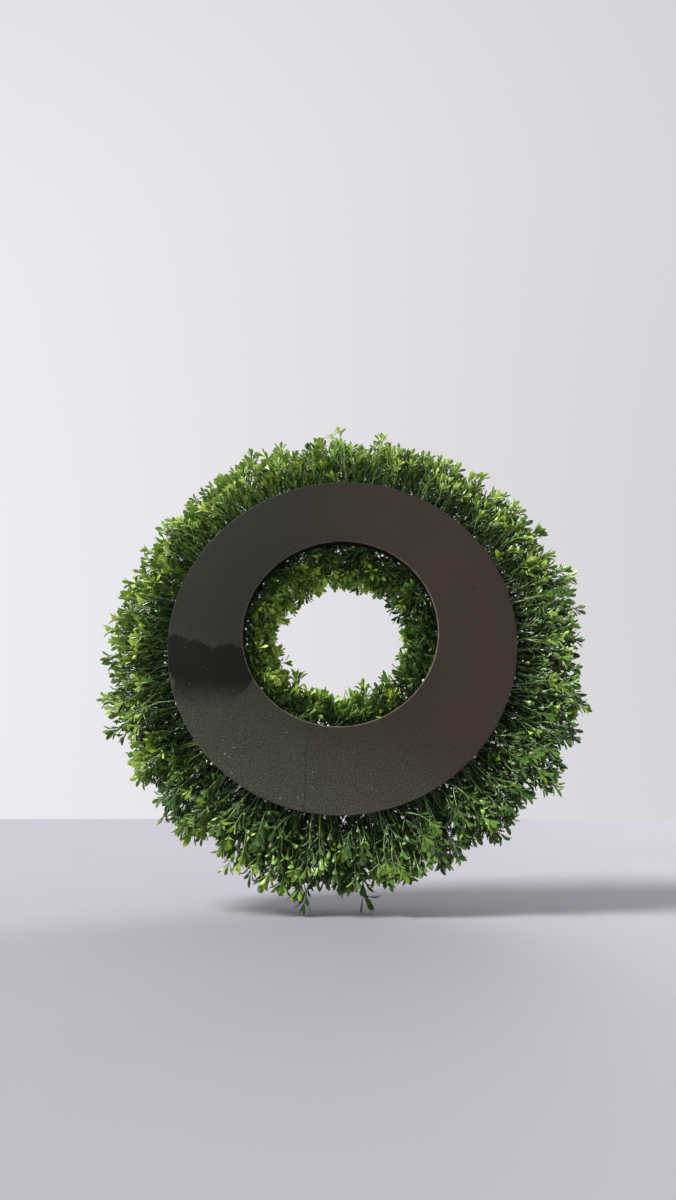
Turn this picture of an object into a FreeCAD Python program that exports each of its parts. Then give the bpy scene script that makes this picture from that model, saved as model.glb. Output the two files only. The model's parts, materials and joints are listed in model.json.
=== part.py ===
import FreeCAD, Part
import os
import re

import Sketcher

# A round artificial boxwood wreath on a flat backing ring.
#
# Frame: +Z is up as the wreath hangs, +Y points out of the back, towards the wall, and the
# foliage faces -Y. The origin is the centre of the ring, on the plane of its back face.
# Lengths are in millimetres. "Depth" is the distance in front of the back face, along -Y.
#
# The pieces, from the back to the front: a routed board ring; dabs of hot glue on its front;
# four quarter-ring mats of moulded plastic with windows and pegs; and on each peg one bunch
# of sprigs, in an outer, a middle and an inner row. Each bunch is a moulded hub with a blind
# socket and, in place of its open spray of stems and leaves, one closed crown of the same size.

DIMENSIONS = {
    "board_outer_radius": 178,
    "board_inner_radius": 100,
    "board_depth": 10,
    "board_edge_round": 1,
    "glue_depth": 1.2,
    "glue_dab_radius": 7,
    "glue_circle_radius": 138,
    "glue_dabs_per_mat": 5,
    "mat_count": 4,
    "mat_inner_radius": 106,
    "mat_outer_radius": 171,
    "mat_depth": 2.5,
    "mat_gap_angle": 0.8,
    "cut_overshoot": 1,
    "windows_per_mat": 6,
    "inner_window_circle": 124.5,
    "inner_window_width": 23,
    "inner_window_height": 19,
    "outer_window_circle": 151,
    "outer_window_width": 30,
    "outer_window_height": 18,
    "peg_radius": 2,
    "peg_length": 8,
    "hub_radius": 4,
    "hub_length": 16,
    "socket_clearance": 0.15,
    "socket_end_gap": 0.3,
    "outer_pegs_per_mat": 5,
    "middle_pegs_per_mat": 4,
    "inner_pegs_per_mat": 3,
    "outer_peg_circle": 164,
    "middle_peg_circle": 138,
    "inner_peg_circle": 111,
    "crown_gap": 1,
    "crown_gap_angle": 0.5,
    "crown_edge_round": 8,
    "crown_root_depth": 19,
    "crown_front_depth": 92,
    "row_split_outer": 154,
    "row_split_inner": 115,
    "row_split_lean": 6,
    "outer_tip_radius": 252,
    "outer_tip_step": 2,
    "outer_top_growth": 8,
    "outer_rim_radius": 186,
    "outer_rim_depth": 12,
    "outer_back_radius": 206,
    "outer_back_depth": 2,
    "outer_back_chamfer": 18,
    "outer_side_depth": 58,
    "outer_shoulder_width": 16,
    "outer_shoulder_depth": 80,
    "outer_front_radius": 194,
    "outer_front_depth": 84,
    "middle_outer_chamfer": 10,
    "middle_inner_chamfer_width": 7,
    "middle_inner_chamfer_depth": 8,
    "middle_front_step": 3,
    "inner_tip_radius": 65,
    "inner_tip_step": 2,
    "inner_side_growth": 5,
    "inner_front_radius": 99,
    "inner_front_depth": 82,
    "inner_shoulder_width": 10,
    "inner_shoulder_depth": 70,
    "inner_tip_front_depth": 54,
    "inner_tip_back_depth": 35,
    "inner_root_chamfer": 12,
}

doc = FreeCAD.newDocument("boxwood_wreath")
sheet = doc.addObject("Spreadsheet::Sheet", "Dimensions")
for row, (alias, number) in enumerate(DIMENSIONS.items(), start=1):
    sheet.set(f"A{row}", alias)
    sheet.set(f"B{row}", str(number))
    sheet.setAlias(f"B{row}", alias)
doc.recompute()

ALIAS = re.compile(r"\b(" + "|".join(DIMENSIONS) + r")\b")
MAT_BACK_DEPTH = "board_depth + glue_depth"
MAT_FRONT_DEPTH = "board_depth + glue_depth + mat_depth"
FLIPPED = FreeCAD.Rotation(FreeCAD.Vector(1, 0, 0), 180)
DEPTH_AXIS = FreeCAD.Vector(0, -1, 0)


def on_sheet(expression):
    """The expression with every alias written as a cell of the sheet."""
    return ALIAS.sub(r"Dimensions.\1", str(expression))


def value(expression):
    """The expression's number."""
    return float(sheet.evalExpression(on_sheet(expression)))


def bind(thing, path, expression):
    thing.setExpression(path, on_sheet(expression))


def origin_feature(body, role):
    return next(f for f in body.Origin.OriginFeatures if f.Role == role)


def new_body(label):
    body = doc.addObject("PartDesign::Body", label)
    body.Label = label
    return body


def front_sketch(body, name, depth, turn="0"):
    """A sketch parallel to the back face at a depth, its first axis turned up from +X."""
    sketch = body.newObject("Sketcher::SketchObject", name)
    sketch.AttachmentSupport = [(origin_feature(body, "XZ_Plane"), "")]
    sketch.MapMode = "FlatFace"
    bind(sketch, "AttachmentOffset.Base.z", depth)
    bind(sketch, "AttachmentOffset.Rotation.Angle", turn)
    return sketch


def section_sketch(body, name):
    """A sketch of radius across and depth up, through the ring's axis."""
    sketch = body.newObject("Sketcher::SketchObject", name)
    sketch.AttachmentSupport = [(origin_feature(body, "XY_Plane"), "")]
    sketch.MapMode = "FlatFace"
    sketch.AttachmentOffset = FreeCAD.Placement(FreeCAD.Vector(), FLIPPED)
    return sketch


def fix(sketch, kind, targets, expression):
    """A dimensional constraint whose number follows the sheet."""
    index = sketch.addConstraint(Sketcher.Constraint(kind, *targets, value(expression)))
    bind(sketch, f"Constraints[{index}]", expression)


def add_circle(sketch, across, radius):
    """A circle centred on the sketch's first axis."""
    centre = FreeCAD.Vector(value(across), 0, 0)
    circle = sketch.addGeometry(Part.Circle(centre, FreeCAD.Vector(0, 0, 1), value(radius)))
    fix(sketch, "DistanceX", (-1, 1, circle, 3), across)
    fix(sketch, "DistanceY", (-1, 1, circle, 3), "0")
    fix(sketch, "Radius", (circle,), radius)


def add_outline(sketch, corners):
    """A closed outline of straight edges through the corners, each a pair of expressions."""
    points = [FreeCAD.Vector(value(x), value(y), 0) for x, y in corners]
    following = points[1:] + points[:1]
    edges = [sketch.addGeometry(Part.LineSegment(a, b)) for a, b in zip(points, following)]
    for edge, after in zip(edges, edges[1:] + edges[:1]):
        sketch.addConstraint(Sketcher.Constraint("Coincident", edge, 2, after, 1))
    for edge, (x, y) in zip(edges, corners):
        fix(sketch, "DistanceX", (-1, 1, edge, 1), x)
        fix(sketch, "DistanceY", (-1, 1, edge, 1), y)


def add_window(sketch, across, width, height):
    """A rectangle centred on the sketch's first axis; its height is measured along it."""
    near, far = f"{across} - {height} / 2", f"{across} + {height} / 2"
    low, high = f"-{width} / 2", f"{width} / 2"
    add_outline(sketch, [(near, low), (far, low), (far, high), (near, high)])


def pad(body, sketch, length):
    feature = body.newObject("PartDesign::Pad", sketch.Name + "_pad")
    feature.Profile = sketch
    bind(feature, "Length", length)
    doc.recompute()
    return feature


def pocket(body, sketch, length):
    """Cut away from the back face, and make sure that something was cut."""
    before = body.Shape.Volume
    feature = body.newObject("PartDesign::Pocket", sketch.Name + "_pocket")
    feature.Profile = sketch
    feature.Reversed = True
    bind(feature, "Length", length)
    doc.recompute()
    if body.Shape.Volume >= before:
        raise RuntimeError(f"{feature.Name} cuts nothing")
    return feature


def revolve_sector(body, sketch, angle):
    """Turn a section about the ring's axis, half of the angle to each side."""
    feature = body.newObject("PartDesign::Revolution", sketch.Name + "_sector")
    feature.Profile = sketch
    feature.ReferenceAxis = (sketch, ["V_Axis"])
    feature.Midplane = True
    bind(feature, "Angle", angle)
    doc.recompute()
    return feature


def pattern_down(body, feature, angle, count):
    """Repeat a feature about the ring's axis, from +Z towards -Z."""
    feature_pattern = body.newObject("PartDesign::PolarPattern", feature.Name + "_pattern")
    feature_pattern.Originals = [feature]
    feature_pattern.Axis = (origin_feature(body, "Y_Axis"), [""])
    bind(feature_pattern, "Angle", angle)
    bind(feature_pattern, "Occurrences", count)
    body.Tip = feature_pattern
    doc.recompute()
    return feature_pattern


def turned(angle):
    """The placement at an angle about the ring's axis, counted up from +X."""
    return FreeCAD.Placement(FreeCAD.Vector(), FreeCAD.Rotation(DEPTH_AXIS, angle))


def make_backing_ring():
    """The flat board ring, with all four of its edges eased."""
    body = new_body("backing_ring")
    sketch = front_sketch(body, "board_outline", "0")
    add_circle(sketch, "0", "board_outer_radius")
    add_circle(sketch, "0", "board_inner_radius")
    board = pad(body, sketch, "board_depth")
    rims = [
        f"Edge{number}"
        for number, edge in enumerate(board.Shape.Edges, start=1)
        if isinstance(edge.Curve, Part.Circle)
    ]
    rounding = body.newObject("PartDesign::Fillet", "board_rounding")
    rounding.Base = (board, rims)
    bind(rounding, "Radius", "board_edge_round")
    return body


def make_glue_dabs():
    """Flattened dabs of hot glue between the board and the mats, one group of solids."""
    dabs = []
    per_mat = int(value("glue_dabs_per_mat"))
    for number in range(int(value("mat_count")) * per_mat):
        dab = doc.addObject("Part::Cylinder", f"glue_dab_{number + 1:02d}")
        bind(dab, "Radius", "glue_dab_radius")
        bind(dab, "Height", "glue_depth")
        angle = value(f"360 / (mat_count * glue_dabs_per_mat) * ({number} + 0.5)")
        lift = FreeCAD.Placement(
            FreeCAD.Vector(value("glue_circle_radius"), -value("board_depth"), 0),
            FreeCAD.Rotation(FreeCAD.Vector(1, 0, 0), 90),
        )
        dab.Placement = turned(angle) * lift
        dabs.append(dab)
    group = doc.addObject("Part::Compound", "glue_dabs")
    group.Label = "glue_dabs"
    group.Links = dabs
    return group


def add_windows(body, name, circle, width, height):
    """One row of windows along the mat, to let glue and air through."""
    pitch = "360 / mat_count / windows_per_mat"
    first = f"180 / mat_count - {pitch} / 2"
    sketch = front_sketch(body, name, MAT_BACK_DEPTH, first)
    add_window(sketch, circle, width, height)
    hole = pocket(body, sketch, "mat_depth + cut_overshoot")
    pattern_down(body, hole, f"{pitch} * (windows_per_mat - 1)", "windows_per_mat")


def add_pegs(body, name, circle, per_mat):
    """One row of pegs on the front of the mat, for the bunches to sit on."""
    pitch = f"360 / mat_count / {per_mat}"
    first = f"180 / mat_count - {pitch} / 2"
    sketch = front_sketch(body, name, MAT_BACK_DEPTH, first)
    add_circle(sketch, circle, "peg_radius")
    peg = pad(body, sketch, "mat_depth + peg_length")
    pattern_down(body, peg, f"{pitch} * ({per_mat} - 1)", per_mat)


def make_mat(number):
    """A quarter of the ring of moulded mats."""
    body = new_body(f"sprig_mat_{number + 1}")
    sketch = section_sketch(body, "mat_section")
    add_outline(
        sketch,
        [
            ("mat_inner_radius", MAT_BACK_DEPTH),
            ("mat_outer_radius", MAT_BACK_DEPTH),
            ("mat_outer_radius", MAT_FRONT_DEPTH),
            ("mat_inner_radius", MAT_FRONT_DEPTH),
        ],
    )
    revolve_sector(body, sketch, "360 / mat_count - mat_gap_angle")
    add_windows(
        body, "inner_windows", "inner_window_circle", "inner_window_width", "inner_window_height"
    )
    add_windows(
        body, "outer_windows", "outer_window_circle", "outer_window_width", "outer_window_height"
    )
    for row in ("outer", "middle", "inner"):
        add_pegs(body, f"{row}_pegs", f"{row}_peg_circle", f"{row}_pegs_per_mat")
    body.Placement = turned(value(f"360 / mat_count * ({number} + 0.5)"))
    return body


def outer_section(tip):
    """From the mat's rim round the board's edge to the widest tips, and over the front."""
    return [
        ("row_split_outer", "crown_root_depth"),
        ("outer_rim_radius", "outer_rim_depth"),
        ("outer_back_radius", "outer_back_depth"),
        (f"{tip} - outer_back_chamfer", "outer_back_depth"),
        (tip, "outer_back_depth + outer_back_chamfer"),
        (tip, "outer_side_depth"),
        (f"{tip} - outer_shoulder_width", "outer_shoulder_depth"),
        ("outer_front_radius", "outer_front_depth"),
        ("row_split_outer + row_split_lean", "outer_front_depth"),
    ]


def middle_section(tip):
    """An upright stand of sprigs over the middle of the board."""
    inner_wall = "row_split_inner + crown_gap"
    outer_wall = "row_split_outer - crown_gap"
    return [
        (inner_wall, "crown_root_depth"),
        (outer_wall, "crown_root_depth"),
        (f"{outer_wall} + row_split_lean", f"{tip} - middle_outer_chamfer"),
        (f"{outer_wall} + row_split_lean - middle_outer_chamfer", tip),
        (f"{inner_wall} + middle_inner_chamfer_width", tip),
        (inner_wall, f"{tip} - middle_inner_chamfer_depth"),
    ]


def inner_section(tip):
    """From the mat's inner rim into the hole, leaning towards the middle of the wreath."""
    return [
        ("row_split_inner", "crown_root_depth"),
        ("row_split_inner", "inner_front_depth"),
        ("inner_front_radius", "inner_front_depth"),
        (f"{tip} + inner_shoulder_width", "inner_shoulder_depth"),
        (tip, "inner_tip_front_depth"),
        (tip, "inner_tip_back_depth"),
        (f"{tip} + inner_root_chamfer", "crown_root_depth"),
    ]


SECTIONS = {"outer": outer_section, "middle": middle_section, "inner": inner_section}

# How far each row's crowns reach: a radius in the outer and inner rows and a depth in the middle
# one. Neighbours differ by small steps. The outer sprigs stand longest at the top, because the
# wreath has been stood on its lowest ones, and the hole is left a little wider than it is high.
TIPS = {
    "outer": "(outer_tip_radius - {size} * outer_tip_step + outer_top_growth * sin({angle}))",
    "middle": "(crown_front_depth - {size} * middle_front_step)",
    "inner": "(inner_tip_radius + {size} * inner_tip_step + inner_side_growth * cos(2 * {angle}))",
}
SIZE_STEPS = (0, 2, 1)


def make_bunch(row, number):
    """A sprig bunch: crown, hub behind it and the hub's blind socket on its peg."""
    body = new_body(f"{row}_sprig_bunch_{number + 1:02d}")
    pitch = f"360 / mat_count / {row}_pegs_per_mat"
    angle = f"({pitch} * ({number} + 0.5))"
    tip = TIPS[row].format(size=SIZE_STEPS[number % len(SIZE_STEPS)], angle=angle)

    section = section_sketch(body, "crown_section")
    add_outline(section, SECTIONS[row](tip))
    crown = revolve_sector(body, section, f"{pitch} - crown_gap_angle")
    rounding = body.newObject("PartDesign::Fillet", "crown_rounding")
    rounding.Base = (crown, [""])
    rounding.UseAllEdges = True
    bind(rounding, "Radius", "crown_edge_round")
    doc.recompute()

    hub = front_sketch(body, "hub_outline", MAT_FRONT_DEPTH)
    add_circle(hub, f"{row}_peg_circle", "hub_radius")
    pad(body, hub, "hub_length")

    socket = front_sketch(body, "socket_outline", MAT_FRONT_DEPTH)
    add_circle(socket, f"{row}_peg_circle", "peg_radius + socket_clearance")
    pocket(body, socket, "peg_length + socket_end_gap")

    body.Placement = turned(value(angle))
    return body


def make_all():
    parts = [make_backing_ring(), make_glue_dabs()]
    parts += [make_mat(number) for number in range(int(value("mat_count")))]
    for row in SECTIONS:
        count = int(value(f"mat_count * {row}_pegs_per_mat"))
        parts += [make_bunch(row, number) for number in range(count)]
    doc.recompute()
    return parts


def check(parts):
    """Stop if any feature failed or any sub-part isn't one valid shape."""
    failed = [o.Name for o in doc.Objects if {"Invalid", "Error"} & set(o.State)]
    if failed:
        raise RuntimeError(f"features failed: {failed}")
    for piece in parts:
        if piece.Shape.isNull() or not piece.Shape.isValid():
            raise RuntimeError(f"{piece.Label} has no valid shape")
        if piece.Label != "glue_dabs" and len(piece.Shape.Solids) != 1:
            raise RuntimeError(f"{piece.Label} isn't one solid")


parts = make_all()
check(parts)
os.makedirs("parts", exist_ok=True)
for piece in parts:
    piece.Shape.exportStep(f"parts/{piece.Label}.step")
print(f"{len(parts)} sub-parts written")
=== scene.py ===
import json
import math

import bpy
import numpy as np
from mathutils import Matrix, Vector


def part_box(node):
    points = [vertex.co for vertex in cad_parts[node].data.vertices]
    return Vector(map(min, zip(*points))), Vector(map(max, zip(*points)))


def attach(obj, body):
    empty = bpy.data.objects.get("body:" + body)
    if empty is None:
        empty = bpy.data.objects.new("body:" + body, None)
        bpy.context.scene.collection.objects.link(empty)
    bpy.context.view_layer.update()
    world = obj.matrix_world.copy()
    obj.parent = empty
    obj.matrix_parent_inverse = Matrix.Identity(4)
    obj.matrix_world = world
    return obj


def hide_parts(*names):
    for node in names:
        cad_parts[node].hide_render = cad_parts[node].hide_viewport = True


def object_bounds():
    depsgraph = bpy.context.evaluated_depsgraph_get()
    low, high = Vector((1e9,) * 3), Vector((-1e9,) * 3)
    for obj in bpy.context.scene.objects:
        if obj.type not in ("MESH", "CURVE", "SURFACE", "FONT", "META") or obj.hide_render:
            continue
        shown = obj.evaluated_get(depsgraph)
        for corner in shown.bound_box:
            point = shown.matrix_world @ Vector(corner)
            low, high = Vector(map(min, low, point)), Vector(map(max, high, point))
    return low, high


# An artificial boxwood wreath, stood up and seen from behind, so that the flat black backing
# ring faces the camera. +Z is up, the ring's back faces +Y and the foliage faces -Y. Lengths
# are in metres. "Depth" is the distance in front of the ring's back face, along -Y, and
# "radius" and "angle" are measured about the ring's axis, the angle up from +X.

MM = 0.001

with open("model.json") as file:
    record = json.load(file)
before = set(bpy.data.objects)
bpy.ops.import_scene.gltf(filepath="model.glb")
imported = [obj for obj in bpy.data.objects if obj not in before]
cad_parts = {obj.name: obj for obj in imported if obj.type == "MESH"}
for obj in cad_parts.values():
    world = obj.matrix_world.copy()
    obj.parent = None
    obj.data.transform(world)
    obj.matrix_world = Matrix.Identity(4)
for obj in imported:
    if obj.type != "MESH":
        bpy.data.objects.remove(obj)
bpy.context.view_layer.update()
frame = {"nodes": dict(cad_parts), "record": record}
NODES = frame["nodes"]
RING_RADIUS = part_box("backing_ring")[1].x
RING_DEPTH = -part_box("backing_ring")[0].y
HANG_POINT = next(m for m in frame["record"]["mounts"] if m["name"] == "hang_point")
HOLE_RADIUS = HANG_POINT["pos_m"][2]
PEG_LENGTH = 8 * MM
MAT_FRONT_DEPTH = -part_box("sprig_mat_1")[0].y - PEG_LENGTH

# ---------------------------------------------------------------- camera

CAMERA_PLACE = Vector((-0.0248, 0.491, -0.1772))
CAMERA_TARGET = Vector((0.0014, 0.0, 0.0298))
CAMERA_LENS = 15.3
CAMERA_SENSOR = 36
NEAREST_SEEN = 10 * MM


def make_camera():
    """An ultra-wide view from close behind the ring, from below its middle."""
    data = bpy.data.cameras.new("camera")
    data.lens = CAMERA_LENS
    data.sensor_width = CAMERA_SENSOR
    data.clip_start = NEAREST_SEEN
    camera = bpy.data.objects.new("camera", data)
    bpy.context.scene.collection.objects.link(camera)
    camera.location = CAMERA_PLACE
    look = CAMERA_TARGET - CAMERA_PLACE
    camera.rotation_euler = look.to_track_quat("-Z", "Y").to_euler()
    bpy.context.scene.camera = camera


# ---------------------------------------------------------------- material helpers


def linear(red, green, blue):
    """A colour given as 0 to 255 screen values."""
    screen = np.array([red, green, blue]) / 255
    return (*np.where(screen <= 0.04045, screen / 12.92, ((screen + 0.055) / 1.055) ** 2.4), 1)


class Nodes:
    """Short forms for building a node tree."""

    place_output = "Object"

    def __init__(self, tree):
        self.tree = tree

    def node(self, kind, **settings):
        made = self.tree.nodes.new(kind)
        for name, setting in settings.items():
            setattr(made, name, setting)
        return made

    def join(self, source, target):
        self.tree.links.new(source, target)

    def put(self, socket, thing):
        """Set a socket from a number or colour, or link it from another socket."""
        if isinstance(thing, bpy.types.NodeSocket):
            self.join(thing, socket)
        else:
            socket.default_value = thing

    def place(self):
        return self.node("ShaderNodeTexCoord").outputs[self.place_output]

    def axes(self):
        split = self.node("ShaderNodeSeparateXYZ")
        self.join(self.place(), split.inputs["Vector"])
        return split.outputs["X"], split.outputs["Y"], split.outputs["Z"]

    def shifted(self, distance):
        """The place, moved so that a second texture doesn't repeat the first."""
        mapping = self.node("ShaderNodeMapping")
        self.join(self.place(), mapping.inputs["Vector"])
        mapping.inputs["Location"].default_value = (distance, distance, distance)
        return mapping.outputs["Vector"]

    def red(self, colour):
        split = self.node("ShaderNodeSeparateColor")
        self.join(colour, split.inputs["Color"])
        return split.outputs["Red"]

    def attribute(self, name):
        return self.node("ShaderNodeAttribute", attribute_name=name).outputs["Fac"]

    def noise(self, scale, detail=3.0, rough=0.55, where=None):
        made = self.node("ShaderNodeTexNoise")
        self.join(where or self.place(), made.inputs["Vector"])
        made.inputs["Scale"].default_value = scale
        made.inputs["Detail"].default_value = detail
        made.inputs["Roughness"].default_value = rough
        return made.outputs["Fac"]

    def math(self, operation, first, second=0.0, clamp=False):
        made = self.node("ShaderNodeMath", operation=operation, use_clamp=clamp)
        self.put(made.inputs[0], first)
        self.put(made.inputs[1], second)
        return made.outputs[0]

    def span(self, value, low, high, to_low=0.0, to_high=1.0, smooth=False):
        """Map a value from one range to another, held at the ends."""
        kind = "SMOOTHSTEP" if smooth else "LINEAR"
        made = self.node("ShaderNodeMapRange", interpolation_type=kind)
        self.put(made.inputs["Value"], value)
        ends = {"From Min": low, "From Max": high, "To Min": to_low, "To Max": to_high}
        for name, number in ends.items():
            made.inputs[name].default_value = number
        return made.outputs["Result"]

    def mix(self, share, first, second, blend="MIX"):
        made = self.node("ShaderNodeMix", data_type="RGBA", blend_type=blend)
        self.put(made.inputs["Factor"], share)
        self.put(made.inputs[6], first)
        self.put(made.inputs[7], second)
        return made.outputs[2]

    def ramp(self, value, stops):
        made = self.node("ShaderNodeValToRGB")
        self.put(made.inputs["Fac"], value)
        elements = made.color_ramp.elements
        while len(elements) < len(stops):
            elements.new(1.0)
        for element, (position, colour) in zip(elements, stops):
            element.position = position
            element.color = colour
        return made.outputs["Color"]

    def far(self, first, second):
        """The length of a flat vector from its two parts."""
        squares = self.math("MULTIPLY", first, first), self.math("MULTIPLY", second, second)
        return self.math("SQRT", self.math("ADD", *squares))

    def bump(self, height, distance, strength=1.0, under=None):
        made = self.node("ShaderNodeBump")
        self.put(made.inputs["Height"], height)
        made.inputs["Distance"].default_value = distance
        made.inputs["Strength"].default_value = strength
        if under is not None:
            self.join(under, made.inputs["Normal"])
        return made.outputs["Normal"]


class Shader(Nodes):
    """A Principled material."""

    def __init__(self, name):
        self.material = bpy.data.materials.new(name)
        self.material.use_nodes = True
        super().__init__(self.material.node_tree)
        self.surface = self.tree.nodes["Principled BSDF"]

    def finish(self, colour, rough, normal=None):
        self.put(self.surface.inputs["Base Color"], colour)
        self.put(self.surface.inputs["Roughness"], rough)
        if normal is not None:
            self.join(normal, self.surface.inputs["Normal"])
        return self.material


# ---------------------------------------------------------------- materials

# The board's tint with painted light and shade across it: painted lighter and warmer at -X, and darker at
# +X.
BOARD_LIT_TO_SHADED_TINTS = linear(70, 59, 52), linear(40, 43, 36)
BOARD_CLOUD = linear(49, 46, 39)
SCUFF_AND_SHEEN_TINT = linear(86, 89, 78)
SPECKLE_TINT = linear(128, 126, 118)
PIT_TINT = linear(18, 17, 16)
DARK_PATCH_TINT = linear(9, 9, 6)
SCORE_TINT = linear(24, 23, 20)
WORN_AND_HIGHLIGHT_TINT = linear(118, 108, 100)
WALL_SHADE_TINT = linear(16, 15, 15)

# The dark patch is a union of round lobes, each as x, z and radius, and it fades out downwards
# between two heights.
DARK_PATCH_LOBES = (
    (0.170, -0.026, 0.021),
    (0.150, -0.035, 0.023),
    (0.113, -0.045, 0.028),
    (0.136, -0.060, 0.029),
)
DARK_PATCH_SOFTNESS = 1.5 * MM
DARK_PATCH_FADE = (-0.086, -0.050)

# The score line's place across the board, its half-width and blur, and the height it fades in at.
SCORE_X = 0.0315
SCORE_WIDTHS = (0.2 * MM, 0.9 * MM)
SCORE_FADE = (-0.112, -0.122)

# How far from a rim the pale edge, from wear and a painted highlight, fades in and is full, and how deep
# the side walls' painted shade starts.
EDGE_FADE = (1.3 * MM, 0.5 * MM)
WALL_DEPTHS = (1.0 * MM, 1.8 * MM)


def scuff_and_sheen_share(s, x, z):
    """How much scuffing and painted sheen the board has: none, or full at the lower left."""
    slope = s.math("SUBTRACT", s.math("MULTIPLY", x, 0.5), z)
    uneven = s.math("ADD", slope, s.math("MULTIPLY", s.noise(22, 3), 0.08))
    return s.span(uneven, 0.09, 0.24, smooth=True)


def dark_patch_share(s, x, z, wobble):
    """How far into the dark patch a place is, with the lobes' edges uneven by the wobble."""
    dark_patch = 0.0
    for lobe_x, lobe_z, lobe_radius in DARK_PATCH_LOBES:
        away = s.far(s.math("SUBTRACT", x, lobe_x), s.math("SUBTRACT", z, lobe_z))
        away = s.math("ADD", away, wobble)
        inside = s.span(away, lobe_radius - DARK_PATCH_SOFTNESS, lobe_radius + DARK_PATCH_SOFTNESS, 1.0, 0.0)
        dark_patch = s.math("MAXIMUM", inside, dark_patch)
    fade = s.span(s.math("ADD", z, s.math("MULTIPLY", wobble, 2.0)), *DARK_PATCH_FADE, smooth=True)
    return s.math("MULTIPLY", dark_patch, fade)


def with_marks(s, colour, seed, scale, pick, where, strength, mark):
    """The colour with small dots, one in each cell whose random number is over the pick."""
    cells = s.node("ShaderNodeTexVoronoi")
    s.join(s.shifted(seed), cells.inputs["Vector"])
    cells.inputs["Scale"].default_value = scale
    chosen = s.math("GREATER_THAN", s.red(cells.outputs["Color"]), pick)
    dot = s.span(cells.outputs["Distance"], 0.08, 0.24, strength, 0.0)
    return s.mix(s.math("MULTIPLY", s.math("MULTIPLY", chosen, where), dot), colour, mark)


def worn_and_highlight_share(s, radius, scuff_and_sheen):
    """How pale the eased edges are, in patches, from wear and from a painted highlight. The outer one is
    palest where there are scuffs and painted sheen.
    """
    far, near = EDGE_FADE
    outer_edge = s.span(radius, RING_RADIUS - far, RING_RADIUS - near)
    inner_edge = s.span(radius, HOLE_RADIUS + far, HOLE_RADIUS + near)
    outer_edge = s.math("MULTIPLY", outer_edge, s.span(scuff_and_sheen, 0, 1, 0.35, 1.0))
    patches = s.span(s.noise(130, 3), 0.35, 0.6, 0.3, 0.9)
    return s.math("MULTIPLY", s.math("MAXIMUM", outer_edge, inner_edge), patches)


def board_material():
    """Charcoal foamed-plastic board: orange peel, speckle, scuffs, wear and a dark patch, with painted
    light and shade: a sweep across it, sheen and glints at the lower left, edge highlights and shaded side
    walls.
    """
    s = Shader("charcoal_board")
    x, y, z = s.axes()

    # Painted light and shade: lighter and warmer towards -X, darker towards +X.
    colour = s.mix(s.span(x, -0.12, 0.12, smooth=True), *BOARD_LIT_TO_SHADED_TINTS)
    colour = s.mix(s.span(s.noise(11, 3), 0.3, 0.7, 0.0, 0.35), colour, BOARD_CLOUD)

    # The lower left is lighter from scuffs and a painted sheen, with a fine speckle, partly painted glints,
    # that the rest has only faintly.
    scuff_and_sheen = scuff_and_sheen_share(s, x, z)
    colour = s.mix(s.math("MULTIPLY", scuff_and_sheen, 0.6), colour, SCUFF_AND_SHEEN_TINT)
    grain = s.noise(620, 3, 0.7)
    speckle = s.math("MULTIPLY", s.span(grain, 0.52, 0.7), s.span(scuff_and_sheen, 0, 1, 0.12, 0.6))
    colour = s.mix(speckle, colour, SPECKLE_TINT)
    pits = s.math("MULTIPLY", s.span(grain, 0.46, 0.34), s.span(scuff_and_sheen, 0, 1, 0.15, 0.6))
    colour = s.mix(pits, colour, PIT_TINT)

    wobble = s.math("MULTIPLY", s.math("SUBTRACT", s.noise(90, 3), 0.5), 10 * MM)
    # A dark patch with a lobed upper edge, fading out downwards.
    dark_patch = dark_patch_share(s, x, z, wobble)
    colour = s.mix(s.math("MULTIPLY", dark_patch, 0.93), colour, DARK_PATCH_TINT)

    # Small pale nicks where it is scuffed, and sparse dark marks all over.
    nicked = s.math("MULTIPLY", scuff_and_sheen, s.span(s.noise(34, 2), 0.45, 0.6))
    colour = with_marks(s, colour, 3.1, 240, 0.86, nicked, 0.7, linear(176, 174, 164))
    colour = with_marks(s, colour, 7.7, 130, 0.93, 1.0, 0.4, linear(16, 14, 13))

    # A faint upright score line below the hole.
    off_line = s.math("ABSOLUTE", s.math("SUBTRACT", s.math("ADD", x, wobble), SCORE_X))
    score = s.math("MULTIPLY", s.span(off_line, *SCORE_WIDTHS, 0.4, 0.0), s.span(z, *SCORE_FADE))
    colour = s.mix(score, colour, SCORE_TINT)

    # The eased edges, pale from wear and from a painted highlight.
    colour = s.mix(worn_and_highlight_share(s, s.far(x, z), scuff_and_sheen), colour, WORN_AND_HIGHLIGHT_TINT)
    # Painted shade: the board's side walls are painted nearly black.
    wall = s.span(y, -WALL_DEPTHS[0], -WALL_DEPTHS[1])
    colour = s.mix(s.math("MULTIPLY", wall, 0.95), colour, WALL_SHADE_TINT)

    peel = s.bump(s.noise(380, 3, 0.55), 0.5 * MM, 0.5)
    peel = s.bump(grain, 0.3 * MM, 0.5, under=peel)
    rough = s.span(s.noise(30, 4), 0.3, 0.7, 0.5, 0.64)
    rough = s.math("SUBTRACT", rough, s.math("MULTIPLY", scuff_and_sheen, 0.1))
    s.surface.inputs["Specular IOR Level"].default_value = 0.16
    return s.finish(colour, rough, peel)


def mat_material():
    s = Shader("green_mat")
    colour = s.mix(s.noise(60), linear(24, 52, 30), linear(40, 74, 38))
    return s.finish(colour, s.span(s.noise(200), 0.3, 0.7, 0.4, 0.6), s.bump(s.noise(600), 0.1 * MM, 0.4))


def glue_material():
    s = Shader("hot_glue")
    colour = s.mix(s.noise(150), linear(214, 208, 186), linear(232, 228, 214))
    return s.finish(colour, s.span(s.noise(90), 0.3, 0.7, 0.15, 0.3), s.bump(s.noise(160), 0.4 * MM, 0.5))


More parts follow.
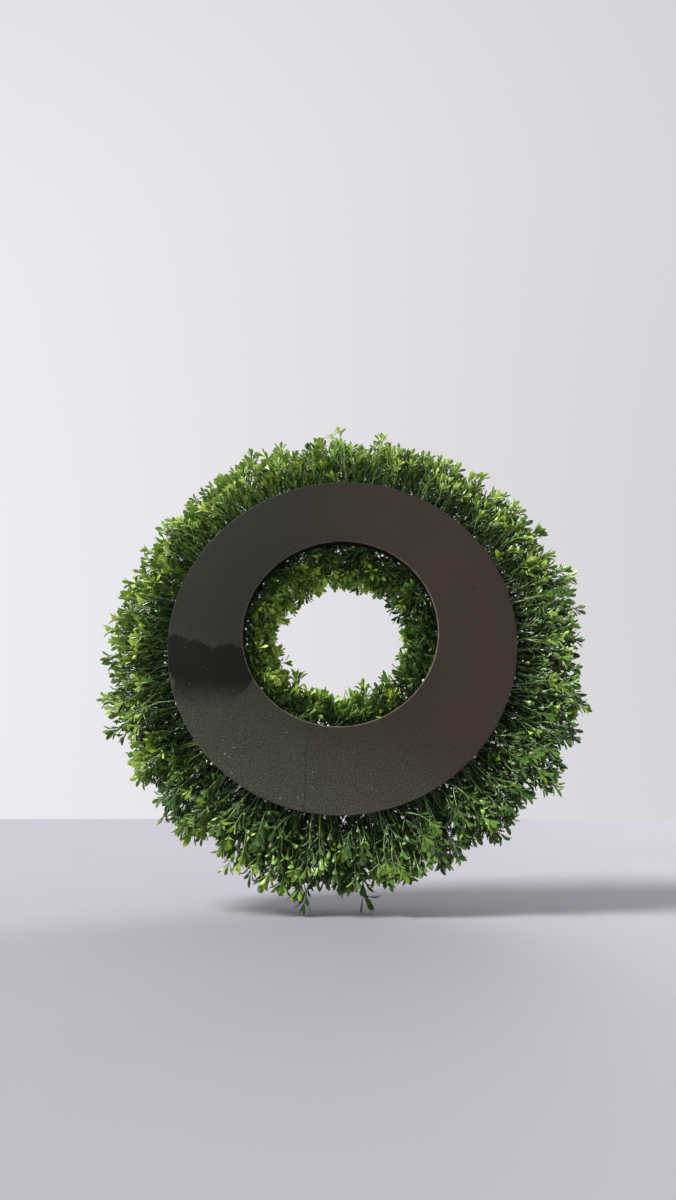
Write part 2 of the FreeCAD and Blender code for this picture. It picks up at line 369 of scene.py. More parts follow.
# The colours of leaves and stems by tone, from the wreath's inside, where the leaves' near-black is painted
# shade, to the new growth.
WARM_LEAF_TONES = (
    (0.0, linear(9, 19, 7)),
    (0.35, linear(54, 92, 24)),
    (0.65, linear(116, 158, 42)),
    (1.0, linear(190, 214, 88)),
)
COOL_LEAF_TONES = (
    (0.0, linear(6, 15, 9)),
    (0.4, linear(28, 66, 32)),
    (0.75, linear(76, 124, 44)),
    (1.0, linear(164, 200, 84)),
)
STEM_TONES = (
    (0.0, linear(158, 176, 138)),
    (0.45, linear(138, 168, 104)),
    (1.0, linear(144, 176, 72)),
)
UNDERSIDE_TINT = linear(128, 158, 96)
RIB_TINT = linear(160, 186, 92)
SHADED_STEM_TINT = linear(62, 94, 56)


def leaf_material():
    """Moulded leaf: painted dark as shade inside the wreath, yellow-green on new growth, paler underneath.
    """
    s = Shader("boxwood_leaf")
    patchy = s.span(s.noise(260, 3), 0.25, 0.75, -0.08, 0.08)
    tone = s.math("ADD", s.attribute("tone"), patchy, clamp=True)
    colour = s.mix(s.attribute("shade"), s.ramp(tone, WARM_LEAF_TONES), s.ramp(tone, COOL_LEAF_TONES))
    colour = s.mix(s.math("MULTIPLY", s.attribute("under"), 0.35), colour, UNDERSIDE_TINT)
    off_rib = s.math("ABSOLUTE", s.attribute("across"))
    rib = s.span(off_rib, 0.0, 0.14, 1.0, 0.0)
    colour = s.mix(s.math("MULTIPLY", rib, 0.3), colour, RIB_TINT)
    slant = s.math("ADD", s.math("MULTIPLY", off_rib, -0.5), s.attribute("along"))
    veins = s.math("SINE", s.math("MULTIPLY", slant, 60.0))
    relief = s.math("ADD", s.math("MULTIPLY", veins, 0.15), s.math("MULTIPLY", rib, -0.8))
    normal = s.bump(relief, 0.12 * MM, 0.6)
    s.surface.inputs["Specular IOR Level"].default_value = 0.38
    s.surface.inputs["Coat Weight"].default_value = 0.35
    s.surface.inputs["Coat Roughness"].default_value = 0.24
    return s.finish(colour, s.span(s.noise(500, 2), 0.3, 0.7, 0.22, 0.38), normal)


def stem_material():
    """Thin moulded stem: pale grey-green where it is bare, greener among the leaves."""
    s = Shader("boxwood_stem")
    colour = s.ramp(s.attribute("tone"), STEM_TONES)
    colour = s.mix(s.span(s.noise(45), 0.4, 0.62), colour, SHADED_STEM_TINT)
    return s.finish(colour, 0.42, s.bump(s.noise(1500), 0.05 * MM, 0.5))


def floor_material():
    s = Shader("pale_floor")
    colour = s.mix(s.noise(2.5), linear(149, 148, 157), linear(157, 156, 164))
    return s.finish(colour, 0.75, s.bump(s.noise(40), 0.3 * MM, 0.2))


# ---------------------------------------------------------------- leaves and stems

LEAF_STATIONS = (0.0, 0.3, 0.52, 0.72, 0.9, 1.0)
PLAIN_STATIONS = (0.0, 0.4, 0.78, 1.0)
# Of a leaf of length 1 and half-width 1: the power that puts its widest place past the middle,
# the power that rounds it, the stalk's half-width, the midrib's thickness and how much of that
# stays where the leaf is narrow, and how far the halves fold up.
LEAF_SWELL = 2.4
LEAF_ROUNDNESS = 0.85
LEAF_NARROWEST = 0.15
LEAF_THICKNESS = 0.03
LEAF_THINNEST = 0.4
LEAF_FOLD = 0.35
# How much lighter a leaf's tip is than its stalk.
LEAF_TIP_TONE = 0.22
STEM_SIDES = 5
SHARP_ANGLE = 70
LEAF_SLOT = 0
STEM_SLOT = 1


def leaf_template(stations, ridged):
    """A spoon-shaped leaf of length 1 along X and half-width 1 along Y, as a thin closed solid.

    Its sections have a left rim, a right rim and the midrib's underside, and a ridged leaf has
    the top of the midrib too. The stalk is narrow, and the blade swells and closes in a round tip.
    """
    stations = np.array(stations)
    width = np.sin(np.pi * stations**LEAF_SWELL).clip(0) ** LEAF_ROUNDNESS
    width = np.maximum(width, LEAF_NARROWEST)
    thick = LEAF_THICKNESS * (LEAF_THINNEST + (1 - LEAF_THINNEST) * width)
    none = np.zeros(len(stations))
    ring_y = [width, none, -width, none] if ridged else [width, -width, none]
    ring_z = [none, thick, none, -thick] if ridged else [none, none, -thick]
    sides = len(ring_y)
    ring_x = np.repeat(stations[:, None], sides, 1)
    corners = np.stack([ring_x, np.stack(ring_y, 1), np.stack(ring_z, 1)], 2).reshape(-1, 3)
    faces, under = [], []
    for ring in range(len(stations) - 1):
        for side in range(sides):
            a, b = sides * ring + side, sides * ring + (side + 1) % sides
            faces.append((a, a + sides, b + sides, b))
            under.append(side >= sides - 2)
    last = sides * (len(stations) - 1)
    faces += [tuple(range(sides)), tuple(last + side for side in reversed(range(sides)))]
    under += [False, False]
    return corners, faces, under


LEAF_KINDS = {True: leaf_template(LEAF_STATIONS, True), False: leaf_template(PLAIN_STATIONS, False)}


def unit(v):
    return v / np.maximum(np.linalg.norm(v, axis=-1, keepdims=True), 1e-9)


def perpendiculars(direction):
    """Two unit vectors square to a direction and to each other."""
    x, y, z = direction
    if abs(z) < 0.8:
        first = np.array([y, -x, 0.0])
    else:
        first = np.array([0.0, z, -y])
    first = first / math.sqrt(first @ first)
    second = np.array([
        y * first[2] - z * first[1],
        z * first[0] - x * first[2],
        x * first[1] - y * first[0],
    ])
    return first, second


class Growth:
    """Collects the leaves and stems of one bunch, then makes them one mesh."""

    def __init__(self, rng):
        self.rng = rng
        self.leaves = {True: [], False: []}
        self.tubes = []

    def leaf(self, fine, at, direction, facing, length, width, curl, tone, shade):
        self.leaves[fine].append((*at, *direction, *facing, length, width, curl, tone, shade))

    def tube(self, points, radii, tone_from, tone_to):
        radii = np.interp(np.linspace(0, 1, len(points)), np.linspace(0, 1, len(radii)), radii)
        self.tubes.append((points, radii, tone_from, tone_to))

    def leaf_mesh(self, fine):
        """The spots, faces, marks on each spot and underside marks of all leaves of one kind."""
        leaf_corners, leaf_faces, leaf_under = LEAF_KINDS[fine]
        rows = np.array(self.leaves[fine])
        at, along, facing = rows[:, 0:3], unit(rows[:, 3:6]), rows[:, 6:9]
        length, width, curl, tone, shade = rows[:, 9:14].T
        facing = unit(facing - (facing * along).sum(1, keepdims=True) * along)
        side = np.cross(facing, along)
        x, y, z = leaf_corners.T
        reach = length[:, None] * x
        spread = (width / 2)[:, None] * y
        lift = length[:, None] * z + (width / 2)[:, None] * LEAF_FOLD * np.abs(y)
        lift -= (curl * length)[:, None] * x**2
        spots = (
            at[:, None]
            + reach[..., None] * along[:, None]
            + spread[..., None] * side[:, None]
            + lift[..., None] * facing[:, None]
        )
        count, corners = len(rows), len(leaf_corners)
        faces = [tuple(k * corners + v for v in face) for k in range(count) for face in leaf_faces]
        marks = {
            "tone": (tone[:, None] + LEAF_TIP_TONE * (x - 0.5)).ravel(),
            "shade": np.repeat(shade, corners),
            "along": np.tile(x, count),
            "across": np.tile(y, count),
        }
        return spots.reshape(-1, 3), faces, marks, list(leaf_under) * count

    def tube_mesh(self):
        spots, faces, tones = [], [], []
        base = 0
        around = np.arange(STEM_SIDES) * 2 * math.pi / STEM_SIDES
        for points, radii, tone_from, tone_to in self.tubes:
            steps = len(points)
            tangent = unit(np.gradient(points, axis=0))
            first, second = perpendiculars(tangent[0])
            for k in range(steps):
                first = unit(first - (first @ tangent[k]) * tangent[k])
                second = np.cross(tangent[k], first)
                ring = np.cos(around)[:, None] * first + np.sin(around)[:, None] * second
                spots.append(points[k] + radii[k] * ring)
            share = np.linspace(0, 1, steps)
            tones.append(np.repeat(tone_from + (tone_to - tone_from) * share, STEM_SIDES))
            for k in range(steps - 1):
                for side in range(STEM_SIDES):
                    a = base + k * STEM_SIDES + side
                    b = base + k * STEM_SIDES + (side + 1) % STEM_SIDES
                    faces.append((a, b, b + STEM_SIDES, a + STEM_SIDES))
            top = base + (steps - 1) * STEM_SIDES
            faces.append(tuple(base + side for side in reversed(range(STEM_SIDES))))
            faces.append(tuple(top + side for side in range(STEM_SIDES)))
            base += steps * STEM_SIDES
        return np.concatenate(spots), faces, np.concatenate(tones)

    def mesh(self, name):
        spots, faces, under = [], [], []
        marks = {"tone": [], "shade": [], "along": [], "across": []}
        for fine in (True, False):
            leaf_spots, leaf_faces, leaf_marks, leaf_under = self.leaf_mesh(fine)
            start = sum(map(len, spots))
            faces += [tuple(v + start for v in face) for face in leaf_faces]
            spots.append(leaf_spots)
            under += leaf_under
            for key, numbers in leaf_marks.items():
                marks[key].append(numbers)
        stem_spots, stem_faces, stem_tone = self.tube_mesh()
        start = sum(map(len, spots))
        faces += [tuple(v + start for v in face) for face in stem_faces]
        spots.append(stem_spots)
        for key in marks:
            marks[key].append(stem_tone if key == "tone" else np.zeros(len(stem_spots)))
        mesh = bpy.data.meshes.new(name)
        mesh.from_pydata(clear_of_board(np.concatenate(spots)).tolist(), [], faces)
        for key, numbers in marks.items():
            layer = mesh.attributes.new(key, "FLOAT", "POINT")
            layer.data.foreach_set("value", np.concatenate(numbers).astype(np.float32))
        stems = len(stem_faces)
        layer = mesh.attributes.new("under", "FLOAT", "FACE")
        layer.data.foreach_set("value", np.r_[under, np.zeros(stems)].astype(np.float32))
        slots = np.repeat([LEAF_SLOT, STEM_SLOT], [len(under), stems])
        mesh.polygons.foreach_set("material_index", slots)
        mesh.polygons.foreach_set("use_smooth", np.ones(len(faces), bool))
        mesh.set_sharp_from_angle(angle=math.radians(SHARP_ANGLE))
        return mesh


MAT_INNER_RADIUS = 106 * MM
MAT_OUTER_RADIUS = 171 * MM
CLEAR_OF_BOARD = RING_DEPTH + 0.8 * MM
CLEAR_OF_MAT = MAT_FRONT_DEPTH + 0.5 * MM

# The least depth that foliage keeps at each radius: in front of the mats, in front of the
# board, and beside the board no further back than its back face.
CLEARANCE = (
    (HOLE_RADIUS - 10 * MM, 0.0),
    (HOLE_RADIUS - 2 * MM, CLEAR_OF_BOARD),
    (MAT_INNER_RADIUS - 2 * MM, CLEAR_OF_BOARD),
    (MAT_INNER_RADIUS, CLEAR_OF_MAT),
    (MAT_OUTER_RADIUS, CLEAR_OF_MAT),
    (MAT_OUTER_RADIUS + 2 * MM, CLEAR_OF_BOARD),
    (RING_RADIUS + 2 * MM, CLEAR_OF_BOARD),
    (RING_RADIUS + 10 * MM, 0.0),
)
PRESSED_LAYER = 3 * MM


def clear_of_board(spots):
    """Press what would stand in the board or the mats softly forwards, out of them."""
    radius = np.hypot(spots[:, 0], spots[:, 2])
    least = np.interp(radius, *zip(*CLEARANCE))
    above = -spots[:, 1] - least
    sunk = np.minimum(above - PRESSED_LAYER, 0)
    pressed = PRESSED_LAYER * np.exp(sunk / PRESSED_LAYER)
    spots[:, 1] = -(least + np.where(above < PRESSED_LAYER, pressed, above))
    return spots


# ---------------------------------------------------------------- sprigs

# Sizes of a middling leaf, and the ranges and spreads of what differs from leaf to leaf.
LEAF_SPACING = 5.2 * MM
LEAF_LENGTH = 12.3 * MM
LEAF_WIDTH = 4.3 * MM
LEAF_WIDTHS = (0.82, 1.15)
LEAF_CURLS = (-0.12, 0.26)
LEAF_TONE_SPREAD = 0.1
LEAF_SHADE_SPREAD = 0.12

# Pairs of leaves along a stem: the opening angle at its foot, how much less it is at the tip and
# its spread, in degrees, the size and width of the lowest and what the highest gain on them, how
# late the new growth's tone comes, and where on the stem the detailed leaves start.
PAIR_OPENING = 42
PAIR_CLOSING = 6
PAIR_OPENING_SPREAD = 9
PAIR_SIZES = (0.82, 1.1)
LOW_LEAF_SIZE = 0.82
HIGH_LEAF_SIZE_GAIN = 0.18
LOW_LEAF_WIDTH = 0.72
HIGH_LEAF_WIDTH_GAIN = 0.28
NEW_GROWTH_POWER = 1.8
FINE_FROM = 0.55

# The tuft at a stem's tip: its number of leaves, their opening angles in degrees and their sizes,
# its turn against the last pair, and how much lighter it is than the tip.
TUFT_COUNTS = (4, 7)
TUFT_OPENINGS = (14, 52)
TUFT_SIZES = (0.85, 1.15)
TUFT_TURN = 0.7
TUFT_TONE = 0.05

STEM_RADII = (0.85 * MM, 0.72 * MM, 0.42 * MM)
STEM_TONE = (0.0, 0.8)
STEM_STEPS = 10
TWIG_RADII = (0.55 * MM, 0.38 * MM)
TWIG_TONE = (0.3, 0.9)
TWIG_STEPS = 6
TWIG_RUNS = (14 * MM, 32 * MM)
TWIG_LEANS = (28, 50)

# A sprig's tip has one of these tones, with these chances. A filler's stays dark, as painted shade, and the
# inner leaves are painted near-black as shade.
TIP_TONES = (1.0, 0.82, 0.56)
TIP_CHANCES = (0.45, 0.33, 0.22)
FILLER_SHADE_TONE = 0.25
INNER_SHADE_TONE = 0.03


def curve_through(start, first_pull, second_pull, end, steps):
    """Points along a cubic Bezier curve."""
    t = np.linspace(0, 1, steps)[:, None]
    return (
        (1 - t) ** 3 * start
        + 3 * (1 - t) ** 2 * t * first_pull
        + 3 * (1 - t) * t**2 * second_pull
        + t**3 * end
    )


def along_curve(points):
    """A function from a share of the curve's length to the place and the direction there."""
    steps = np.linalg.norm(np.diff(points, axis=0), axis=1)
    run = np.r_[0, np.cumsum(steps)]

    def look(share):
        distance = share * run[-1]
        k = min(np.searchsorted(run, distance, side="right") - 1, len(steps) - 1)
        part = (distance - run[k]) / steps[k]
        return points[k] + part * (points[k + 1] - points[k]), (points[k + 1] - points[k]) / steps[k]

    return look, run[-1]


def put_leaf(growth, fine, place, direction, around, opening, tone, shade, size, slim=1.0):
    """One leaf, leaning out from the stem's direction by the opening angle."""
    rng = growth.rng
    first, second = perpendiculars(direction)
    outward = math.cos(around) * first + math.sin(around) * second
    heading = math.cos(opening) * direction + math.sin(opening) * outward
    width = LEAF_WIDTH * slim * size * rng.uniform(*LEAF_WIDTHS)
    curl = rng.uniform(*LEAF_CURLS)
    tone = tone + rng.normal(0, LEAF_TONE_SPREAD)
    shade = np.clip(shade + rng.normal(0, LEAF_SHADE_SPREAD), 0, 1)
    growth.leaf(fine, place, heading, direction, LEAF_LENGTH * size, width, curl, tone, shade)


def leafy_stem(growth, points, bare_share, tones, shade, size, filler=False):
    """Pairs of leaves up a stem, each square to the last, and a tuft at its end."""
    rng = growth.rng
    look, length = along_curve(points)
    pairs = max(1, int(length * (1 - bare_share) / (LEAF_SPACING * size)))
    turn = rng.uniform(0, math.pi)
    for pair in range(pairs):
        young = pair / pairs
        place, direction = look(bare_share + (1 - bare_share) * young)
        turn += math.pi / 2 + rng.normal(0, 0.2)
        tone = tones[0] + (tones[1] - tones[0]) * young**NEW_GROWTH_POWER
        fine = young > FINE_FROM and not filler
        slim = LOW_LEAF_WIDTH + HIGH_LEAF_WIDTH_GAIN * young
        for half in (0, math.pi):
            spread = rng.normal(0, PAIR_OPENING_SPREAD)
            opening = math.radians(PAIR_OPENING - PAIR_CLOSING * young + spread)
            grown = LOW_LEAF_SIZE + HIGH_LEAF_SIZE_GAIN * young
            grow = size * rng.uniform(*PAIR_SIZES) * grown
            around = turn + half + rng.normal(0, 0.15)
            put_leaf(growth, fine, place, direction, around, opening, tone, shade, grow, slim)
    place, direction = look(1.0)
    tone = tones[1] + TUFT_TONE
    tuft = rng.integers(*TUFT_COUNTS)
    for k in range(tuft):
        around = turn + TUFT_TURN + k * 2 * math.pi / tuft + rng.normal(0, 0.2)
        opening = math.radians(rng.uniform(*TUFT_OPENINGS))
        grow = size * rng.uniform(*TUFT_SIZES)
        put_leaf(growth, not filler, place, direction, around, opening, tone, shade, grow)


def sprig(growth, root, pulls, tip, layer, lighter):
    """One stem from the hub to its tip, with side branches.

    Where a sprig is lighter than usual, which is painted light, its inner leaves are most of all
    and its tip hardly is, and where it is darker, which is painted shade, only its tip is.
    """
    rng = growth.rng
    points = curve_through(root, *pulls, tip, STEM_STEPS)
    shade = float(np.clip(rng.normal(0.4, 0.35), 0, 1))
    tip_tone = rng.choice(TIP_TONES, p=TIP_CHANCES) + min(lighter, 0.3 * lighter)
    if layer.filler:
        tip_tone = FILLER_SHADE_TONE + 0.8 * max(0.0, lighter)
    growth.tube(points, STEM_RADII, *STEM_TONE)
    size = rng.uniform(0.9, 1.1)
    # The inner leaves' near-black is painted shade.
    inner_tone = INNER_SHADE_TONE + 1.5 * max(0.0, lighter)
    leafy_stem(growth, points, layer.bare_share, (inner_tone, tip_tone), shade, size, layer.filler)
    look, length = along_curve(points)
    for _ in range(layer.branches):
        share = rng.uniform(max(0.4, layer.bare_share), 0.78)
        place, direction = look(share)
        first, second = perpendiculars(direction)
        around = rng.uniform(0, 2 * math.pi)
        side = math.cos(around) * first + math.sin(around) * second
        run = np.clip((1 - share) * length * rng.uniform(0.75, 1.1), *TWIG_RUNS)
        lean = math.radians(rng.uniform(*TWIG_LEANS))
        heading = math.cos(lean) * direction + math.sin(lean) * side
        end = place + run * unit(heading + 0.5 * direction)
        pulls = place + heading * run * 0.3, place + heading * run * 0.65
        twig = curve_through(place, *pulls, end, TWIG_STEPS)
        growth.tube(twig, TWIG_RADII, *TWIG_TONE)
        leafy_stem(growth, twig, 0.35, (0.15 + inner_tone, tip_tone), shade, size * 0.95, layer.filler)


CREEPERS = 6
CREEPER_DROP = 5 * MM
CREEPER_SCATTER = 4 * MM
CREEPER_SHADE_TONES = (0.02, 0.2)


def creeping_sprig(growth, peg_radius, angle, toward, hub_front):
    """A short sprig, painted dark as shade, from the side of the hub, low over the mat towards the next
    bunch.
    """
    rng = growth.rng
    root = polar(peg_radius, angle, hub_front - CREEPER_DROP)
    radius = peg_radius + rng.normal(0, CREEPER_SCATTER)
    middle = polar(radius, angle + toward * 0.5, hub_front - rng.uniform(1, 6) * MM)
    tip_radius = radius + rng.normal(0, CREEPER_SCATTER)
    tip = polar(tip_radius, angle + toward, hub_front - rng.uniform(2, 8) * MM)
    points = curve_through(root, (root + middle) / 2, middle, tip, TWIG_STEPS)
    growth.tube(points, TWIG_RADII, 0.0, 0.1)
    leafy_stem(growth, points, 0.15, CREEPER_SHADE_TONES, rng.uniform(0.2, 0.9), 1.0, True)


def polar(radius, angle, depth):
    """The place at a radius and angle about the ring's axis and a depth in front of its back."""
    return np.array([radius * math.cos(angle), -depth, radius * math.sin(angle)])


def cell(node):
    """Where a bunch's CAD solid is: lowest and highest radius, half its turn and middle angle,
    and its least and greatest depth."""
    corners = np.array([v.co for v in NODES[node].data.vertices])
    middle = corners.mean(0)
    angle = math.atan2(middle[2], middle[0])
    radii = np.hypot(corners[:, 0], corners[:, 2])
    turns = np.arctan2(corners[:, 2], corners[:, 0]) - angle
    turns = (turns + math.pi) % (2 * math.pi) - math.pi
    return radii.min(), radii.max(), turns.max(), angle, -corners[:, 1].max(), -corners[:, 1].min()


class Layer:
    """Sprigs that end along one stretch of a row's outline, or fillers that stop inside it."""

    def __init__(self, count, stretch, bare_share, branches, filler=False):
        self.count = count
        self.stretch = stretch
        self.bare_share = bare_share
        self.branches = branches
        self.filler = filler


class Row:
    """How one row's sprigs grow.

    The outline is where the tips end, as shares of the cell's span of radius and of depth, from
    the back of the wreath round to its front. The stems leave the hub, swing a share of the way
    to their own angle by the swing radius and end at the outline, less the leaves' reach past
    the stem's tip. The tones are painted light and shade: how much lighter than usual the row is
    painted, and how much more so towards +X and +Z, the key light's side.
    """

    def __init__(self, peg_radius, swing_radius, swing_share, spread, tones, outline, layers):
        self.peg_radius = peg_radius
        self.swing_radius = swing_radius
        self.swing_share = swing_share
        self.spread = spread
        self.tones = tones
        self.outline = np.array(outline)
        self.layers = layers


ROWS = {
    "outer": Row(164 * MM, 170 * MM, 0.9, 1.25, (-0.04, 0.23, 0.4), [
        (0.64, 0.0), (0.8, 0.0), (0.92, 0.1), (1.0, 0.3), (1.0, 0.55), (0.88, 0.8), (0.6, 0.97), (0.0, 1.0),
    ], [
        Layer(16, (0.0, 0.3), 0.46, 2),
        Layer(15, (0.24, 1.0), 0.18, 2),
        Layer(18, (0.0, 0.5), 0.1, 1, True),
        Layer(9, (0.5, 1.0), 0.1, 1, True),
    ]),
    "middle": Row(138 * MM, 138 * MM, 0.8, 1.1, (0.0, 0.0, 0.04), [
        (-0.1, 0.93), (0.5, 1.0), (1.1, 0.93),
    ], [Layer(10, (0.0, 1.0), 0.2, 1), Layer(9, (0.0, 1.0), 0.08, 1, True)]),
    "inner": Row(111 * MM, 98 * MM, 0.5, 2.3, (0.06, 0.36, 0.06), [
        (0.42, 0.1), (0.14, 0.2), (0.02, 0.42), (0.06, 0.68), (0.3, 0.92), (1.0, 1.04),
    ], [
        Layer(8, (0.0, 0.35), 0.52, 2),
        Layer(10, (0.25, 1.0), 0.18, 2),
        Layer(8, (0.0, 0.3), 0.05, 1, True),
        Layer(6, (0.3, 1.0), 0.1, 1, True),
    ]),
}

# The hub on each peg, how far behind its front end the stems start and how far they scatter.
HUB_LENGTH = 16 * MM
HUB_RADII = (4 * MM, 4 * MM, 3.6 * MM, 3.8 * MM, 2.6 * MM)
ROOT_DROP = 3 * MM
ROOT_SCATTER = 0.8 * MM

# The leaves' reach past a stem's tip, how far inside the outline the shortest stems' leaves end,
# how far on average and at most a stem is longer than that, and how far a filler gets.
LEAF_REACH = 11 * MM
TIP_MARGIN = 7.5 * MM
STRAY_MEAN = 7.5 * MM
STRAY_MOST = 22 * MM
FILLER_REACHES = (0.25, 0.6)
# How much more even the outline is at the front than at the back.
FRONT_EVENNESS = 0.7

# Stems of a layer are spread by steps of this share, which keep any number of them apart.
GOLDEN_SHARE = 0.618034
# The first pull's depth, as a share of the way from the hub to the tip, and the second's scatter.
SWING_DEPTH_SHARE = 0.6
PULL_SCATTER = 8 * MM
BUNCH_SEED = 1000

# Waves round the wreath, each one's share of the outline's unevenness, and its turn.
LOBES = ((1, 0.5, 3.7), (13, 0.3, 0.4), (23, 0.45, 2.6), (37, 0.4, 5.1))
LOBE_HEIGHT = 7 * MM


def on_outline(points, share):
    """The point at a share of the way along a list of points."""
    steps = np.r_[0, np.cumsum(np.linalg.norm(np.diff(points, axis=0), axis=1))]
    distance = share * steps[-1]
    return np.interp(distance, steps, points[:, 0]), np.interp(distance, steps, points[:, 1])


def lobes(angle):
    """How far the tips stand out at an angle about the axis, from about -1 to 1, in tufts."""
    return sum(share * math.sin(waves * angle + turn) for waves, share, turn in LOBES)


def grow_bunch(name, node, seed):
    """The mesh of one bunch: its hub, the sprigs and fillers of its row and its creepers."""
    rng = np.random.default_rng(seed)
    growth = Growth(rng)
    row = ROWS[name]
    low, high, half_turn, angle, back, front = cell(node)
    hub_front = MAT_FRONT_DEPTH + HUB_LENGTH
    # Painted light and shade: sprigs towards +X and +Z, the key light's side, are painted lighter, and
    # those towards -X and -Z darker.
    lighter = row.tones[0] + row.tones[1] * math.cos(angle) + row.tones[2] * math.sin(angle)
    hub_depths = np.linspace(MAT_FRONT_DEPTH, hub_front, len(HUB_RADII))
    hub = np.array([polar(row.peg_radius, angle, depth) for depth in hub_depths])
    growth.tube(hub, HUB_RADII, 0.1, 0.2)
    for layer in row.layers:
        for k in range(layer.count):
            begin, end = layer.stretch
            share = begin + (end - begin) * (k + rng.uniform(0.1, 0.9)) / layer.count
            radial, deep = on_outline(row.outline, share)
            across = ((k * GOLDEN_SHARE + rng.uniform(0, 0.1)) % 1 * 2 - 1) * row.spread
            tip_angle = angle + across * half_turn
            tip = polar(low + (high - low) * radial, tip_angle, back + (front - back) * deep)
            hub_end = hub[-1]
            stray = min(rng.exponential(STRAY_MEAN), STRAY_MOST)
            stop = LEAF_REACH + TIP_MARGIN - stray * (1 - FRONT_EVENNESS * deep)
            stop -= LOBE_HEIGHT * lobes(tip_angle) * (1 - FRONT_EVENNESS * deep)
            if layer.filler:
                stop = np.linalg.norm(tip - hub_end) * rng.uniform(*FILLER_REACHES)
            tip = tip + unit(hub_end - tip) * stop
            root = polar(row.peg_radius, angle, hub_front - ROOT_DROP)
            root = root + rng.normal(0, ROOT_SCATTER, 3)
            swing_angle = angle + across * half_turn * row.swing_share
            swing_depth = hub_front + (-tip[1] - hub_front) * SWING_DEPTH_SHARE
            first_pull = polar(row.swing_radius, swing_angle, swing_depth)
            second_pull = first_pull * 0.4 + tip * 0.6 + rng.normal(0, PULL_SCATTER, 3)
            sprig(growth, root, (first_pull, second_pull), tip, layer, lighter)
    for k in range(CREEPERS):
        toward = (1 - 2 * (k % 2)) * half_turn * rng.uniform(0.7, 1.1)
        creeping_sprig(growth, row.peg_radius, angle, toward, hub_front)
    return growth.mesh(node + "_sprigs")


def make_bunches(leaf, stem):
    """A piece of sprigs in place of each bunch's closed CAD crown."""
    for number, node in enumerate(sorted(n for n in NODES if "sprig_bunch" in n)):
        mesh = grow_bunch(node.split("_")[0], node, BUNCH_SEED + number)
        mesh.materials.append(leaf)
        mesh.materials.append(stem)
        piece = bpy.data.objects.new(node + "_sprigs", mesh)
        bpy.context.scene.collection.objects.link(piece)
        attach(piece, "root")
        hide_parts(node)


# ---------------------------------------------------------------- squeezed-out glue

BEAD_SIDES = 8
BEAD_RINGS = 5
# Radii in millimetres, and the circle and number of the beads at each rim.
BEAD_RADII = (0.7, 1.7)
RIM_BEADS = ((RING_RADIUS + 1.2 * MM, 26), (HOLE_RADIUS - 1.0 * MM, 7))
BEAD_SEED = 77


def bead(rng, at, radius):
    """The spots and faces of one uneven round blob."""
    spots, faces = [], []
    squash = rng.uniform(0.75, 1.2, 3)
    for ring in range(BEAD_RINGS + 1):
        polar_angle = math.pi * (0.04 + 0.92 * ring / BEAD_RINGS)
        for side in range(BEAD_SIDES):
            turn = 2 * math.pi * side / BEAD_SIDES
            out = math.sin(polar_angle)
            spot = np.array([out * math.cos(turn), math.cos(polar_angle), out * math.sin(turn)])
            spots.append(at + spot * squash * radius * rng.uniform(0.92, 1.08))
    for ring in range(BEAD_RINGS):
        for side in range(BEAD_SIDES):
            a, b = ring * BEAD_SIDES + side, ring * BEAD_SIDES + (side + 1) % BEAD_SIDES
            faces.append((a, b, b + BEAD_SIDES, a + BEAD_SIDES))
    last = BEAD_RINGS * BEAD_SIDES
    faces.append(tuple(reversed(range(BEAD_SIDES))))
    faces.append(tuple(last + side for side in range(BEAD_SIDES)))
    return spots, faces


def make_squeezed_glue(glue):
    """Beads of glue that came out between the board and the mats, at both of the board's rims."""
    rng = np.random.default_rng(BEAD_SEED)
    spots, faces = [], []
    for rim, count in RIM_BEADS:
        for k in range(count):
            turn = 2 * math.pi * (k + rng.uniform(-0.45, 0.45)) / count
            depth = RING_DEPTH + rng.uniform(-1.5, 1.5) * MM
            radius = rng.uniform(*BEAD_RADII) * MM
            place = polar(rim + rng.uniform(-0.5, 1.5) * MM, turn, depth)
            more, its_faces = bead(rng, place, radius)
            faces += [tuple(v + len(spots) for v in face) for face in its_faces]
            spots += more
    mesh = bpy.data.meshes.new("squeezed_glue")
    mesh.from_pydata([tuple(spot) for spot in spots], [], faces)
    mesh.polygons.foreach_set("use_smooth", np.ones(len(faces), bool))
    mesh.materials.append(glue)
    piece = bpy.data.objects.new("squeezed_glue", mesh)
    bpy.context.scene.collection.objects.link(piece)
    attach(piece, "root")


# ---------------------------------------------------------------- stage and light

FLOOR_RADIUS = 12.0
FLOOR_SIDES = 64

# Each sun's direction, strength, spread in degrees and colour.
KEY_LIGHT = ((1.0, 0.55, 1.2), 4.6, 20, (1, 0.985, 0.95))
FRONT_FILL = ((-0.6, -1.0, 0.9), 0.9, 35, (1, 0.985, 0.96))
ROOM_TINT = (0.98, 0.97, 1.0, 1)
VIEW_GAMMA = 0.9


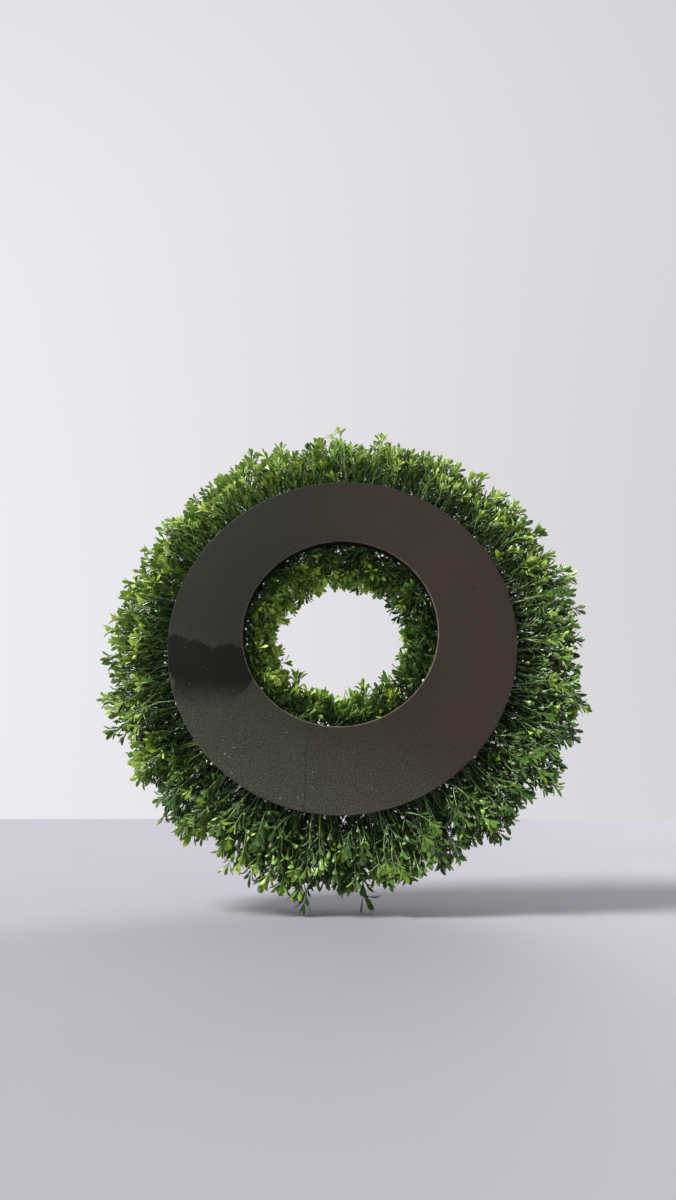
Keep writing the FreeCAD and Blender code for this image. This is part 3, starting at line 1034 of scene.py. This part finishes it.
def make_stage():
    """A level floor that the lowest leaves touch."""
    turns = np.arange(FLOOR_SIDES) * 2 * math.pi / FLOOR_SIDES
    rim = [(FLOOR_RADIUS * math.cos(t), FLOOR_RADIUS * math.sin(t), 0) for t in turns]
    mesh = bpy.data.meshes.new("floor")
    mesh.from_pydata(rim, [], [tuple(range(FLOOR_SIDES))])
    mesh.materials.append(floor_material())
    floor = bpy.data.objects.new("floor", mesh)
    floor.location = (0, 0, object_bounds()[0].z)
    bpy.context.scene.collection.objects.link(floor)


def soft_sun(name, from_direction, strength, spread_degrees, colour):
    data = bpy.data.lights.new(name, "SUN")
    data.energy = strength
    data.angle = math.radians(spread_degrees)
    data.color = colour
    lamp = bpy.data.objects.new(name, data)
    bpy.context.scene.collection.objects.link(lamp)
    lamp.rotation_euler = Vector(from_direction).to_track_quat("Z", "Y").to_euler()


class Sky(Nodes):
    """The room's walls, as directions."""

    place_output = "Generated"


def make_light():
    """A pale room, dimmer behind the camera and a little lighter on the key light's side."""
    world = bpy.data.worlds.new("studio")
    world.use_nodes = True
    sky = Sky(world.node_tree)
    x, y, _ = sky.axes()
    front = sky.span(y, -0.5, 0.8, 0.82, 0.46, smooth=True)
    side = sky.span(x, -0.8, 0.8, 0.82, 1.1)
    background = world.node_tree.nodes["Background"]
    background.inputs["Color"].default_value = ROOM_TINT
    sky.join(sky.math("MULTIPLY", front, side), background.inputs["Strength"])
    bpy.context.scene.world = world
    soft_sun("key", *KEY_LIGHT)
    soft_sun("front_fill", *FRONT_FILL)


# ---------------------------------------------------------------- putting it together


def dress(node, material):
    NODES[node].data.materials.clear()
    NODES[node].data.materials.append(material)


make_camera()
dress("backing_ring", board_material())
glue = glue_material()
dress("glue_dabs", glue)
make_squeezed_glue(glue)
green_mat = mat_material()
for node in NODES:
    if node.startswith("sprig_mat_"):
        dress(node, green_mat)
make_bunches(leaf_material(), stem_material())
make_stage()
make_light()
bpy.context.scene.view_settings.view_transform = "Standard"
bpy.context.scene.view_settings.gamma = VIEW_GAMMA
